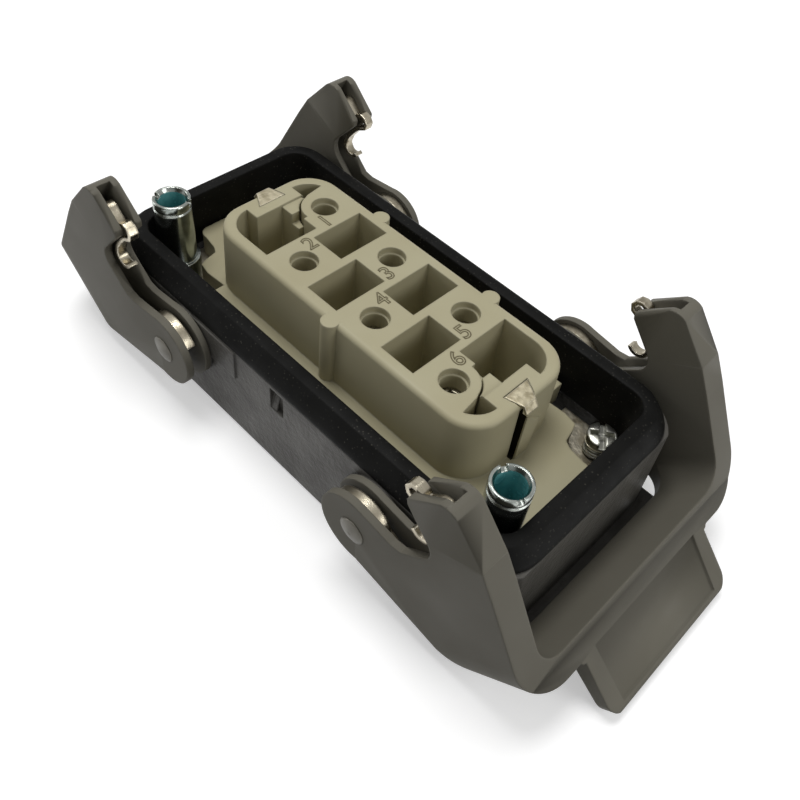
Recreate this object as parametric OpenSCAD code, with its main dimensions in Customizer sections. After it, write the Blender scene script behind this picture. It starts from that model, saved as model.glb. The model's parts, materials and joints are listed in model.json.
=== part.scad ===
// Panel-mounted rectangular power connector, female half.
// A low housing with a rim seal carries a six-pole insert, two guide
// bushes and one forked locking lever at each end.
// Frame: origin at the centre of the base's mounting face, +Z towards the
// mating side, X along the housing. The levers are drawn open.

/* [Housing] */
// Height of the wall above the mounting face
wall_h = 19.7; // [19:0.1:21]
// Thickness of the wall
wall_t = 3.1; // [2.6:0.1:3.4]
// Outer corner radius of the wall
corner_r = 8; // [6:0.5:10]
// Outward lean of each end wall at its foot
end_lean = 0.9; // [0:0.1:1.2]

/* [Mounting flange] */
// How far the flange reaches past each end of the wall
flange_margin = 10; // [9:0.5:12]
// Width of the flange
flange_w = 41; // [40:0.5:43]
// Thickness of the flange
flange_t = 2.2; // [1.6:0.1:2.4]
// Corner radius of the flange
flange_r = 5; // [2:0.5:6]
// Distance of the panel screws past each end of the wall
panel_margin = 4.5; // [4.5:0.1:5]
// Distance between panel screws across the housing
panel_pitch_y = 32; // [30:0.5:33]
// Diameter of the panel screw holes
panel_hole_d = 4.5; // [3.5:0.1:5.5]

/* [Rim seal] */
// Height of the seal above the wall
seal_h = 3.8; // [3.4:0.1:4.4]
// Thickness of the sealing bead
bead_w = 2.8; // [2.2:0.1:3.2]
// Depth of the skirt inside the wall
skirt_h = 7.2; // [4:0.2:8]
// Thickness of the skirt
skirt_t = 1.3; // [1:0.1:1.4]

/* [Insert] */
// Length of the contact block
block_l = 62.4; // [61.6:0.2:63]
// Width of the contact block
block_w = 24.4; // [24:0.2:25]
// Height of the contact block above its flange
block_h = 12.8; // [12:0.2:14]
// Corner radius of the contact block
block_r = 6.5; // [5.5:0.5:7]
// Gap between the insert flange and the seal at each end
insert_gap = 0.35; // [0.2:0.05:0.5]
// Gap between the insert flange and the seal at each side
insert_side_gap = 1.1; // [0.8:0.1:1.4]
// Thickness of the insert flange
insert_t = 4.5; // [4:0.1:5]
// Depth of the coding pockets
pocket_d = 14; // [10:0.5:15]

/* [Contacts] */
// Distance between contacts along a row
contact_pitch = 16.9; // [16.6:0.1:17.2]
// Distance between the two rows
row_gap = 11.96; // [11.8:0.02:12.2]
// Diameter of the entry hole above each contact
entry_d = 4.86; // [4.6:0.02:5.2]
// Outer diameter of the socket contact
socket_d = 4; // [3.8:0.1:4.2]
// Bore of the socket contact
socket_bore = 2.6; // [2.2:0.1:2.8]

/* [Insert fixing] */
// Distance between the fixing posts along the housing; sets its length
fix_pitch_x = 77.5; // [76:0.5:84]
// Distance between the fixing posts across the housing; sets its width
fix_pitch_y = 27; // [27:0.5:30]
// Diameter of the fixing screws
fix_screw_d = 3.9; // [3.4:0.1:4]
// Diameter of the fixing screw head
fix_head_d = 7; // [6.4:0.1:7.2]
// Outer diameter of the guide bushes
bush_d = 6.6; // [6.2:0.1:7]
// Bore of the guide bushes
bush_bore = 5; // [4.6:0.1:5.2]
// Height of a guide bush top above the mounting face
bush_top = 29.1; // [28:0.1:31]
// Thickness of the earth plates
plate_t = 1.2; // [1:0.1:1.4]

/* [Locking levers] */
// Distance of each lever axis from the end of the wall
axis_inset = 23.5; // [23.4:0.1:24]
// Height of the lever axes
axis_z = 13.3; // [13.1:0.1:13.6]
// Radius of the lever discs
disc_r = 6.75; // [6.4:0.05:6.9]
// Thickness of a lever arm
arm_t = 4.8; // [4.6:0.1:5.2]
// Gap between the housing side and a lever arm
arm_gap = 0.5; // [0.45:0.05:0.6]
// Width of the spring slot in a lever arm
slot_w = 2.4; // [2:0.1:2.6]
// Diameter of the pivot pins
pin_d = 3.4; // [3:0.1:3.8]
// Diameter of the pivot pin heads
pin_head_d = 4.9; // [4.5:0.1:5.5]
// Half width of the finger tab
tab_hw = 16.3; // [14:0.1:17]
// Thickness of the latch spring strip
strip_t = 0.8; // [0.6:0.05:0.9]

/* [Hidden] */
$fn = 64;
cut = 1;               // how far a cutter runs past the face it opens
fit = 0.1;             // clearance of parts that drop in by hand
run_fit = 0.05;        // radial clearance of a turning or sliding fit
end_gap = 0.3;         // clearance over the end of a part

// lengths along and across the housing, from the fixings outwards
bush_foot = bush_d + 1.2;
foot_press = 0.05;                        // a bush foot presses into the rubber seal
foot_side_gap = 0.7;                      // bush foot to seal at the side
rim_l = fix_pitch_x + 2 * (bush_foot/2 - foot_press + skirt_t + wall_t);
rim_w = fix_pitch_y + 2 * (bush_foot/2 + foot_side_gap + skirt_t + wall_t);
insert_l = rim_l - 2 * (wall_t + skirt_t + insert_gap);
insert_w = rim_w - 2 * (wall_t + skirt_t + insert_side_gap);
flange_l = rim_l + 2 * flange_margin;
panel_pitch_x = rim_l + 2 * panel_margin;
axis_x = rim_l/2 - axis_inset;

// heights
post_h = 10;                              // top of the fixing posts
plate_top = post_h + plate_t;
flange_top = plate_top + insert_t;        // top of the insert flange
block_top = flange_top + block_h;
rear_z = 0.4;                             // underside of the terminal body
seal_top = wall_h + seal_h;

// rows and columns of the contacts
row_y = row_gap / 2;
col = [-5/4, -1/4, 3/4] * contact_pitch;  // columns of the +Y row
contact_xy = [[col[0], row_y], [-col[2], -row_y], [col[1], row_y],
              [-col[1], -row_y], [col[2], row_y], [-col[0], -row_y]];

// lever arm, across the housing
side_y = rim_w / 2;
arm_in = side_y + arm_gap;
arm_out = arm_in + arm_t;
slot_in = arm_in + (arm_t - slot_w) * 0.46;   // the inner cheek is the thinner one
draw = 45;                                // the lever's moulding direction

function arc(c, r, a0, a1, n) =
    [for (i = [0:n]) c + r * [cos(a0 + (a1 - a0) * i / n), sin(a0 + (a1 - a0) * i / n)]];

module rounded(l, w, r) {
    square([l - 2*r, w], center = true);
    square([l, w - 2*r], center = true);
    for (x = [-1, 1], y = [-1, 1])
        translate([x * (l/2 - r), y * (w/2 - r)]) circle(r);
}

// draws its children upright: their X runs along X, their Y runs along Z
module across(w) {
    rotate([90, 0, 0]) linear_extrude(w, center = true) children();
}

module both_ends() {
    children();
    rotate(180) children();
}

module at_fixings(side) {
    for (x = [-1, 1]) translate([x * fix_pitch_x/2, side * fix_pitch_y/2, 0]) children();
}

module at_pivots() {
    for (x = [-1, 1], y = [-1, 1])
        translate([x * axis_x, y * side_y, axis_z]) rotate([-90 * y, 0, 0]) children();
}

// ---------------------------------------------------------------- housing
boss_r = 6.3;
boss_h = 0.3;
pad_l = 13;
pad_h = 6;
key_w = 3.2;
key_h = 4.8;
key_d = 0.9;
post_r = 4.2;
screw_depth = 7.5;
cavity_l = rim_l - 2 * wall_t;
cavity_w = rim_w - 2 * wall_t;

module wall_outline() {
    foot = rim_l/2 + end_lean;
    intersection() {
        linear_extrude(wall_h) rounded(2 * foot, rim_w, corner_r);
        across(rim_w + 2)
            polygon([[-foot, 0], [foot, 0], [rim_l/2, wall_h], [-rim_l/2, wall_h]]);
    }
}

module post() {
    translate([fix_pitch_x/2, fix_pitch_y/2, 0]) cylinder(post_h, r = post_r);
    translate([fix_pitch_x/2 - post_r, fix_pitch_y/2, 0])
        cube([cavity_l/2 - fix_pitch_x/2 + post_r + fit, cavity_w/2 - fix_pitch_y/2 + fit, post_h]);
    translate([fix_pitch_x/2, fix_pitch_y/2 - post_r, 0])
        cube([cavity_l/2 - fix_pitch_x/2 + fit, post_r + fit, post_h]);
}

// a shallow keying pocket with a small ramp, under the seal on each long side
module key_pocket() {
    translate([-key_w/2, -side_y - cut, wall_h - key_h - 0.7]) cube([key_w, key_d + cut, key_h]);
}

module key_ramp() {
    translate([-key_w/2, -side_y, wall_h - key_h - 0.7]) rotate([90, 0, 90])
        linear_extrude(key_w * 0.45) polygon([[0.1, 0], [key_d + fit, 0], [key_d + fit, key_h * 0.75]]);
}

module housing() {
    color("dimgray") difference() {
        union() {
            difference() {
                union() {
                    wall_outline();
                    linear_extrude(flange_t) rounded(flange_l, flange_w, flange_r);
                    at_pivots() cylinder(boss_h, r = boss_r);
                    for (a = [0, 180]) rotate(a)
                        translate([-axis_x, -side_y - boss_h, axis_z]) cube([pad_l, boss_h + fit, pad_h]);
                }
                translate([0, 0, -cut])
                    linear_extrude(wall_h + 2*cut) rounded(cavity_l, cavity_w, corner_r - wall_t);
                for (a = [0, 180]) rotate(a) key_pocket();
            }
            for (x = [0, 1], y = [0, 1]) mirror([x, 0, 0]) mirror([0, y, 0]) post();
            for (a = [0, 180]) rotate(a) key_ramp();
        }
        for (x = [-1, 1], y = [-1, 1]) {
            translate([x * panel_pitch_x/2, y * panel_pitch_y/2, -cut])
                cylinder(flange_t + 2*cut, d = panel_hole_d);
            translate([x * fix_pitch_x/2, y * fix_pitch_y/2, post_h - screw_depth - end_gap])
                cylinder(screw_depth + end_gap + cut, d = fix_screw_d + 2*run_fit);
        }
        at_pivots() translate([0, 0, -wall_t - cut]) cylinder(wall_t + boss_h + 2*cut, d = pin_d);
    }
}

// ---------------------------------------------------------------- rim seal
band_w = wall_t + skirt_t - 0.05;
band_h = 1;

// section of the seal: X outwards from its inner face, Y up from the rim
function seal_section() = concat(
    [[0, -skirt_h], [skirt_t - fit, -skirt_h], [skirt_t - fit, 0.05], [band_w, 0.05], [band_w, 0.4],
     [band_w - 0.9, band_h], [bead_w + 0.2, band_h], [bead_w + 0.1, seal_h - 1.4]],
    arc([bead_w - 1.2, seal_h - 1.2], 1.2, 10, 90, 5),
    arc([0.9, seal_h - 0.9], 0.9, 90, 170, 4));

module rim_seal() {
    l = cavity_l - 2*skirt_t;
    w = cavity_w - 2*skirt_t;
    r = corner_r - wall_t - skirt_t;
    color("black") translate([0, 0, wall_h]) {
        for (s = [-1, 1]) {
            translate([s * (l/2 - r), 0, 0]) rotate([90, 0, 0])
                linear_extrude(w - 2*r, center = true)
                    translate([s * r, 0]) scale([s, 1]) polygon(seal_section());
            translate([0, s * (w/2 - r), 0]) rotate([90, 0, 90])
                linear_extrude(l - 2*r, center = true)
                    translate([s * r, 0]) scale([s, 1]) polygon(seal_section());
            for (t = [-1, 1]) translate([s * (l/2 - r), t * (w/2 - r), 0])
                rotate(s > 0 ? (t > 0 ? 0 : -90) : (t > 0 ? 90 : 180))
                    rotate_extrude(angle = 90) translate([r, 0]) polygon(seal_section());
        }
    }
}

// ---------------------------------------------------------------- insert
rib_r = 1.55;
rib_reach = 13.35;
lean = 0.4;                      // draft of the block, from foot to top
pocket_l = 6.87;
pocket_w = 10.55;
skin = 2;                        // wall round the outer pockets
boss_d = 8.4;                    // wall tube round each contact
tip_l = 1.2;                     // unguided length of the entry hole
socket_top = block_top - 4;
chamber = 7.6;                   // square terminal chamber
rear_l = block_l - 2.4;
rear_w = 30;

module block_solid() {
    z0 = plate_top;
    edge = 0.5;
    intersection() {
        translate([0, 0, z0]) linear_extrude(block_top - z0) rounded(block_l, block_w, block_r);
        across(block_w + 2)
            polygon([[-block_l/2, z0], [block_l/2, z0], [block_l/2 - lean, block_top - edge],
                     [block_l/2 - lean - edge, block_top], [-block_l/2 + lean + edge, block_top],
                     [-block_l/2 + lean, block_top - edge]]);
        rotate(90) across(block_l + 2)
            polygon([[-block_w/2, z0], [block_w/2, z0], [block_w/2 - lean, block_top - edge],
                     [block_w/2 - lean - edge, block_top], [-block_w/2 + lean + edge, block_top],
                     [-block_w/2 + lean, block_top - edge]]);
    }
    for (p = [[0.15, -1], [-12.9, 1], [12.9, 1]])
        translate([p[0], p[1] * (rib_reach - rib_r), z0]) cylinder(block_top - z0, r = rib_r);
}

// the flange is cut away at the corner that shows the earth plate
module flange_plan() {
    y1 = insert_w/2 + cut;
    x1 = insert_l/2 + cut;
    difference() {
        rounded(insert_l, insert_w, 3);
        both_ends() polygon(concat([[29, y1], [29, block_w/2 - 0.1]],
            arc([33.7, block_w/2 - 1.6], 1.5, 90, 0, 4),
            arc([36.9, 8.6], 1.7, 180, 270, 4), [[x1, 6.6], [x1, y1]]));
    }
}

// pocket at each end of the block, wrapped round the last contact
module end_pocket() {
    wall_x = 26.1;
    difference() {
        intersection() {
            rounded(block_l - 2*(skin + lean), block_w - 2*(skin + lean), block_r - skin);
            union() {
                translate([17.65, -0.6]) square([wall_x - 17.65, block_w]);
                translate([17.65, -2.3]) square([5.95, 3]);
                translate([wall_x - fit, 5.15]) square([5, block_w]);
                translate([25, -block_w/2]) square([5, block_w/2 - 4.9]);
            }
        }
        translate([-col[0], -row_y]) circle(d = boss_d);
    }
}

module insert_front() {
    color("tan") difference() {
        union() {
            block_solid();
            translate([0, 0, plate_top]) linear_extrude(insert_t) flange_plan();
        }
        for (p = contact_xy) translate([p[0], p[1], 0]) {
            translate([0, 0, block_top - tip_l]) cylinder(tip_l + cut, d = entry_d);
            translate([0, 0, plate_top - cut]) cylinder(block_h + insert_t + cut, d = socket_d + 2*fit);
        }
        translate([0, 0, block_top - pocket_d]) linear_extrude(pocket_d + cut) {
            for (a = [0, 180]) rotate(a)
                for (x = [-3/4, 1/4] * contact_pitch)
                    translate([x, 4.33]) square([pocket_l, pocket_w], center = true);
            both_ends() end_pocket();
        }
        at_fixings(-1) translate([0, 0, plate_top - cut]) cylinder(insert_t + 2*cut, d = bush_foot + 2*fit);
        at_fixings(1) translate([0, 0, plate_top - cut]) cylinder(insert_t + 2*cut, d = fix_head_d + 1);
        // channel for the earth clip and a recess for its foot
        both_ends() translate([block_l/2, clip_y - clip_w/2 - fit, plate_top - cut]) {
            cube([clip_t + 2*fit, clip_w + 2*fit, insert_t + 2*cut]);
            cube([foot_l + 2*fit, clip_w + 2*fit, clip_t + 2*fit + cut]);
        }
    }
}

module insert_rear() {
    floor_t = 2.6;
    color("tan") difference() {
        translate([0, 0, rear_z]) linear_extrude(plate_top - rear_z) rounded(rear_l, rear_w, 3);
        for (p = contact_xy) {
            s = sign(p[1]);
            translate([p[0] - chamber/2, p[1] - chamber/2, rear_z + floor_t])
                cube([chamber, chamber, plate_top]);
            translate([p[0], p[1], -cut]) cylinder(rear_z + floor_t + 2*cut, d = 6);
            translate([p[0], s * (rear_w/2 + cut), term_z]) rotate([90 * s, 0, 0])
                cylinder(rear_w/2 - row_y + cut, d = term_head + 2*fit);
        }
    }
}

// ---------------------------------------------------------------- contacts
term_side = 7.2;
term_z = 6.6;
term_head = 4.4;
term_d = 3;
wire_d = 5;

// one turned socket with its terminal block, slotted across
module contact(i) {
    p = contact_xy[i];
    block_z = rear_z + 2.6 + fit;
    block_top_z = plate_top - fit;
    slit = 0.45;
    color("silver") translate([p[0], p[1], 0]) difference() {
        union() {
            translate([-term_side/2, -term_side/2, block_z]) cube([term_side, term_side, block_top_z - block_z]);
            translate([0, 0, block_z]) cylinder(socket_top - block_z, d = socket_d);
        }
        translate([0, 0, socket_top - 11]) cylinder(12, d = socket_bore);
        translate([0, 0, block_z - cut]) cylinder(4 + cut, d = wire_d);
        rotate(45) translate([-slit/2, -socket_d, socket_top - 8]) cube([slit, 2 * socket_d, 9]);
        translate([0, sign(p[1]) * (term_side/2 + cut), term_z]) rotate([90 * sign(p[1]), 0, 0])
            cylinder(3 + cut, d = term_d + 2*run_fit);
    }
}

module terminal_screws() {
    color("silver") for (p = contact_xy) {
        s = sign(p[1]);
        face = row_y + term_side/2;
        translate([p[0], s * face, term_z]) rotate([-90 * s, 0, 0]) difference() {
            union() {
                translate([0, 0, -2.5]) cylinder(2.5 + 1, d = term_d);
                translate([0, 0, 0.6]) cylinder(2, d = term_head);
            }
            translate([-term_head, -0.3, 1.8]) cube([2 * term_head, 0.6, 2]);
        }
    }
}

// ---------------------------------------------------------------- earth
clip_w = 3.6;
clip_y = -0.6;
clip_t = 0.5;
foot_l = 5.4;                    // foot of the clip on the earth plate
earth_x = rear_l/2 + 5.5;        // place of the earth screw
washer_t = 1;

module earth_plate() {
    x0 = 29.6;
    color("lightgray") difference() {
        translate([0, 0, post_h]) linear_extrude(plate_t) difference() {
            translate([x0, -insert_w/2]) square([insert_l/2 - x0, insert_w]);
            translate([x0 - cut, -rear_w/2 - fit]) square([cut + rear_l/2 - x0 + fit, rear_w + 2*fit]);
        }
        for (s = [-1, 1]) translate([fix_pitch_x/2, s * fix_pitch_y/2, post_h - cut])
            cylinder(plate_t + 2*cut, d = fix_screw_d + 0.4);
        translate([earth_x, 0, post_h - cut]) cylinder(plate_t + 2*cut, d = fix_screw_d + 2*run_fit);
    }
}

// bent strip: over the block's edge, down its end face, foot on the earth plate
module earth_clip() {
    x1 = block_l/2;
    color("silver") {
        translate([0, clip_y, 0]) across(clip_w) polygon([
            [x1 - lean + fit, block_top + fit], [x1 + fit, flange_top], [x1 + fit, plate_top + fit/2],
            [x1 + foot_l, plate_top + fit/2], [x1 + foot_l, plate_top + fit/2 + clip_t],
            [x1 + fit + clip_t, plate_top + fit/2 + clip_t], [x1 + fit + clip_t, flange_top],
            [x1 - lean + fit + clip_t, block_top + fit + clip_t]]);
        translate([0, 0, block_top + fit]) linear_extrude(clip_t)
            polygon([[x1 - lean + fit + clip_t, clip_y + clip_w/2], [28, clip_y + 3.4],
                     [28.3, clip_y - 2.2], [x1 - lean + fit + clip_t, clip_y - clip_w/2]]);
    }
}

// the earth wires are clamped from below, against the plates
module earth_screws() {
    head_h = 2.4;
    reach = 5.5;
    color("silver") both_ends() translate([earth_x, 0, plate_top - fit]) difference() {
        union() {
            translate([0, 0, -plate_t - reach]) cylinder(plate_t + reach, d = fix_screw_d);
            translate([0, 0, -plate_t - reach]) cylinder(head_h, d = fix_head_d);
        }
        translate([-fix_head_d, -0.5, -plate_t - reach - cut]) cube([2 * fix_head_d, 1, 1 + cut]);
    }
}

module earth_washers() {
    side = 8;
    color("silver") both_ends() translate([earth_x, 0, post_h - fit - washer_t]) difference() {
        translate([-side/2, -side/2, 0]) cube([side, side, washer_t]);
        translate([0, 0, -cut]) cylinder(washer_t + 2*cut, d = fix_screw_d + 2*run_fit);
    }
}

// ---------------------------------------------------------------- fixings
bush_groove = 0.25;
screw_lift = 5;                  // the captive screws stand proud of the plate

module fixing_screws() {
    head_h = 2;
    color("silver") at_fixings(1) translate([0, 0, plate_top]) difference() {
        union() {
            translate([0, 0, screw_lift - head_h - screw_depth]) cylinder(screw_depth + 0.2, d = fix_screw_d);
            translate([0, 0, screw_lift - head_h]) rotate_extrude() intersection() {
                translate([0, -fix_head_d + head_h]) circle(fix_head_d);
                square([fix_head_d/2, head_h]);
            }
        }
        // cross recess with one arm run out as a slot
        rotate(110) translate([-2.2, -0.4, screw_lift - 1]) cube([4.4, 0.8, 2]);
        rotate(20) translate([-fix_head_d, -0.4, screw_lift - 0.9]) cube([2 * fix_head_d, 0.8, 2]);
    }
}

module guide_bush(s) {
    color("silver") translate([s * fix_pitch_x/2, -fix_pitch_y/2, 0]) difference() {
        union() {
            translate([0, 0, plate_top]) cylinder(bush_top - plate_top, d = bush_d);
            translate([0, 0, plate_top]) cylinder(insert_t + 0.6, d = bush_foot);
            translate([0, 0, post_h - screw_depth + end_gap]) cylinder(screw_depth + plate_t, d = fix_screw_d);
        }
        translate([0, 0, plate_top + 3]) cylinder(bush_top, d = bush_bore);
        translate([0, 0, bush_top - 2.4]) difference() {
            cylinder(0.5, d = bush_d + 1);
            translate([0, 0, -cut]) cylinder(3, d = bush_d - 2*bush_groove);
        }
        rotate(35) translate([-bush_d, -0.7, bush_top - 1.1]) cube([2 * bush_d, 1.4, 2]);
    }
}

// ---------------------------------------------------------------- levers
// the outline is drawn round its own axis point and moved to the lever axis
own = [23.5, 13.3];
rim_in = 30.9;                   // inner face of the cross-bar, along the tab's slope
rim_out = 35;                    // outer face of the cross-bar
tab_end = 45.9;                  // end of the tab
tab_plane = 48.6;                // height of the tab's face above the axis frame's origin
bar_back = own[0] + axis_inset + end_lean + 1.9;   // back edge of the cross-bar, clear of the end wall
lever_low = 3.1;                 // lowest edge of the arms
hook_top = [38.75, 36.3];
notch_c = [34.6, 25];

// side view of a lever; its axis is at own
module lever_side() {
    end_hi = [tab_end + tab_plane, tab_plane - tab_end] * cos(draw);
    offset(r = 0.5) offset(delta = -0.5) polygon(concat(
        [own + [0, disc_r], [30.9, 19.1], [32.8, 19.4]],
        arc(notch_c, 3, -48, 41, 8),
        [[32.6, 31.7], [32.4, 32.9]],
        arc(hook_top, 1.6, 128, 45, 5),
        [[45.6, 31.1], [48.1, 27.1], [57.1, 11.6], end_hi, end_hi - [1.45, 1.45],
         [58.2, 6.0], [54.6, lever_low], [46, lever_low], [42.5, 3.4],
         own + [1.2, 0.1 - disc_r], own]));
    translate(own) circle(disc_r);
}

// fork of a lever, seen along its moulding direction
module lever_fork() {
    corner_out = 8;
    corner_in = 4.4;
    long = 80;
    difference() {
        union() {
            translate([rim_out - long/2, 0]) rounded(long, 2 * arm_out, corner_out);
            translate([rim_out - 4, -tab_hw]) square([tab_end - rim_out + 4 - 3, 2 * tab_hw]);
            translate([tab_end - 3, 0]) rounded(6, 2 * tab_hw, 2.9);
            for (y = [-1, 1]) translate([rim_out - 0.1, y * tab_hw]) difference() {
                translate([0, -1 * (y < 0 ? 1 : 0)]) square([1, 1]);
                translate([1, y]) circle(1);
            }
        }
        translate([rim_in - long/2, 0]) rounded(long, 2 * arm_in, corner_in);
    }
}

module to_axis(s) {
    mirror([s < 0 ? 1 : 0, 0, 0]) translate([axis_x - own[0], 0, axis_z - own[1]]) children();
}

module slot_side() {
    polygon([[own[0] - 12, 1], [own[0] + 4, 1], [own[0] + 6.5, 8.6], [43, 6.4], [47.6, 11.6],
             [50.2, 17.6], [46, 26.3], [41.6, 32.2], [37, 40], [own[0] - 12, 40]]);
}

module lever(s) {
    recess_hw = tab_hw - 3.1;
    color("gray") to_axis(s) difference() {
        intersection() {
            across(2 * arm_out) lever_side();
            rotate([0, draw, 0]) linear_extrude(160, center = true) lever_fork();
        }
        // room for the housing's end wall
        translate([bar_back - 40, 0, -cut]) linear_extrude(13) rounded(80, 2 * arm_in, 5);
        for (y = [-1, 1]) {
            translate([0, y * (slot_in + slot_w/2), 0]) across(slot_w) slot_side();
            translate([own[0], y * arm_in, own[1]]) rotate([-90 * y, 0, 0])
                translate([0, 0, -cut]) cylinder(arm_t + 2*cut, d = pin_d + 2*run_fit);
        }
        // shallow field in the finger tab
        rotate([0, draw, 0]) translate([rim_out - 0.4, -recess_hw, tab_plane - 0.6])
            cube([tab_end - rim_out - 0.8, 2 * recess_hw, 5]);
    }
}

// ---------------------------------------------------------------- latch springs
spring_w = slot_w - 2*fit;

module strip(pts) {
    for (i = [0:len(pts) - 2]) hull() {
        translate(pts[i]) circle(d = strip_t, $fn = 16);
        translate(pts[i + 1]) circle(d = strip_t, $fn = 16);
    }
}

module latch_spring(s, t) {
    color("silver") to_axis(s)
        translate([0, t * (slot_in + slot_w/2), 0]) across(spring_w) {
            strip(concat([[38.2, 33.6]], arc([37.2, 34.4], 1, 0, 140, 4),
                [[33.6, 33.2], [31.3, 33.6], [30.9, 31.6], [32.6, 30.6], [34.4, 28.6]],
                arc([34.2, 24.9], 2.6, 35, -60, 6), [[33.2, 22.4]]));
        }
}

module pivot_pins() {
    color("lightgray") at_pivots() {
        translate([0, 0, -wall_t]) cylinder(wall_t + arm_gap + arm_t + fit, d = pin_d);
        translate([0, 0, arm_gap + arm_t + fit/2]) rotate_extrude() intersection() {
            translate([0, 0.55 - 6]) circle(6);
            square([pin_head_d/2, 0.6]);
        }
    }
}

housing();
rim_seal();
insert_front();
insert_rear();
contact(0);  // contact_1
contact(1);  // contact_2
contact(2);  // contact_3
contact(3);  // contact_4
contact(4);  // contact_5
contact(5);  // contact_6
terminal_screws();
earth_plate();  // earth_plate_near
rotate(180) earth_plate();  // earth_plate_far
earth_clip();  // earth_clip_near
rotate(180) earth_clip();  // earth_clip_far
earth_screws();
earth_washers();
fixing_screws();
guide_bush(1);  // guide_bush_near
guide_bush(-1);  // guide_bush_far
lever(1);  // lever_near
lever(-1);  // lever_far
latch_spring(1, -1);  // spring_near_left
latch_spring(1, 1);  // spring_near_right
latch_spring(-1, -1);  // spring_far_left
latch_spring(-1, 1);  // spring_far_right
pivot_pins();
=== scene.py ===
# %% [markdown]
# # A panel-mounted power connector
# The connector is a grey cast housing with a black rim seal. It holds a beige insert with six
# socket contacts, two guide bushes and two fixing screws, and two forked levers lock the mating
# half to it.
#
# The solids come packed, each in its place. This script gives every one of them its finish,
# makes finer shapes for some, adds the marks and threads that are too fine for solids, and sets
# up floor, light and camera. Each step is a cell of its own, so it can be run and looked at by
# itself.

# %% Load the frame
import json
import math

import bmesh
import bpy
from mathutils import Matrix, Vector

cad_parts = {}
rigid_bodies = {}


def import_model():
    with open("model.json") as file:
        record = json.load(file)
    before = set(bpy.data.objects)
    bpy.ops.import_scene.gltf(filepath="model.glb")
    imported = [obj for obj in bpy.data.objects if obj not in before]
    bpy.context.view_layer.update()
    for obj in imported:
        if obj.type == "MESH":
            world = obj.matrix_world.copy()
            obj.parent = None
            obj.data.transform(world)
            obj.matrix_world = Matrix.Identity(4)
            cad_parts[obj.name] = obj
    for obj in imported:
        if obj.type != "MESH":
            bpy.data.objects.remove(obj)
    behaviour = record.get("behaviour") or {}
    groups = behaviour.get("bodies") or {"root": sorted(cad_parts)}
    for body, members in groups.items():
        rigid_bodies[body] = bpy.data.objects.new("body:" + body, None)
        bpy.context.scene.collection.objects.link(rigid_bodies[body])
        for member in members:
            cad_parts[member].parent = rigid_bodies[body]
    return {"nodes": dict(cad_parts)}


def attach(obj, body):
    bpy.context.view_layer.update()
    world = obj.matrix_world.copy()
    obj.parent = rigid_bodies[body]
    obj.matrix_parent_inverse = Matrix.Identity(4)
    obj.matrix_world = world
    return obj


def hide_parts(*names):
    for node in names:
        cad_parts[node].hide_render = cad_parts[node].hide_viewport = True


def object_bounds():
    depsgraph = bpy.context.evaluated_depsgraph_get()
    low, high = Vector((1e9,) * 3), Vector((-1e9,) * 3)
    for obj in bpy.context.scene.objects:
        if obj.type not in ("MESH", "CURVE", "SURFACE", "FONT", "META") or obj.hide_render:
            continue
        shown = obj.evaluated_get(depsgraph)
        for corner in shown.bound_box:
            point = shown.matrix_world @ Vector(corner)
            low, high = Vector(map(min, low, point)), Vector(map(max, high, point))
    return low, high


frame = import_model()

cad_low, cad_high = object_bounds()
MM = 0.001
print("connector box, mm:", [round((b - a) / MM, 1) for a, b in zip(cad_low, cad_high)])


# %% [markdown]
# ## Effects
# Each finish is a small shader tree. Nodes can be wired by hand in the editor, but then a
# second finish means wiring them again. `NodeTree` is a thin helper instead: it adds a node,
# sets its inputs and returns the output that the next node needs, so that a whole tree reads
# like a formula.

# %% Node helpers
class NodeTree:
    """Adds nodes to a shader tree and links them by name."""

    def __init__(self, tree):
        self.tree = tree
        self.tree.nodes.clear()

    def add(self, kind, settings=None, **inputs):
        node = self.tree.nodes.new(kind)
        for key, value in (settings or {}).items():
            setattr(node, key, value)
        for key, value in inputs.items():
            self.put(node.inputs[key.replace("_", " ")], value)
        return node

    def put(self, socket, value):
        if isinstance(value, bpy.types.NodeSocket):
            self.tree.links.new(value, socket)
        else:
            socket.default_value = value

    def math(self, operation, a, b=0.0, clamp=False):
        node = self.add("ShaderNodeMath", {"operation": operation, "use_clamp": clamp})
        self.put(node.inputs[0], a)
        self.put(node.inputs[1], b)
        return node.outputs[0]

    def mix(self, factor, a, b):
        node = self.add("ShaderNodeMix", {"data_type": "RGBA"})
        self.put(node.inputs["Factor"], factor)
        self.put(node.inputs[6], a)
        self.put(node.inputs[7], b)
        return node.outputs[2]

    def spread(self, value, low, high, to_low=0.0, to_high=1.0):
        """Maps a value from one range to another, clamped at both ends."""
        node = self.add("ShaderNodeMapRange")
        for name, number in zip(("Value", "From Min", "From Max", "To Min", "To Max"),
                                (value, low, high, to_low, to_high)):
            self.put(node.inputs[name], number)
        return node.outputs["Result"]

    def noise(self, where, scale, detail=3.0, rough=0.55):
        node = self.add("ShaderNodeTexNoise", None, Scale=scale, Detail=detail, Roughness=rough)
        self.put(node.inputs["Vector"], where)
        return node.outputs["Fac"]


# %% [markdown]
# Effects that several finishes share are node groups with named inputs and outputs, so that
# they are built once. A group starts with its sockets: `effect` makes them and hands back what
# is needed to fill the group in. Patterns sit in object space, so they stay put on a lever when
# it turns.

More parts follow.
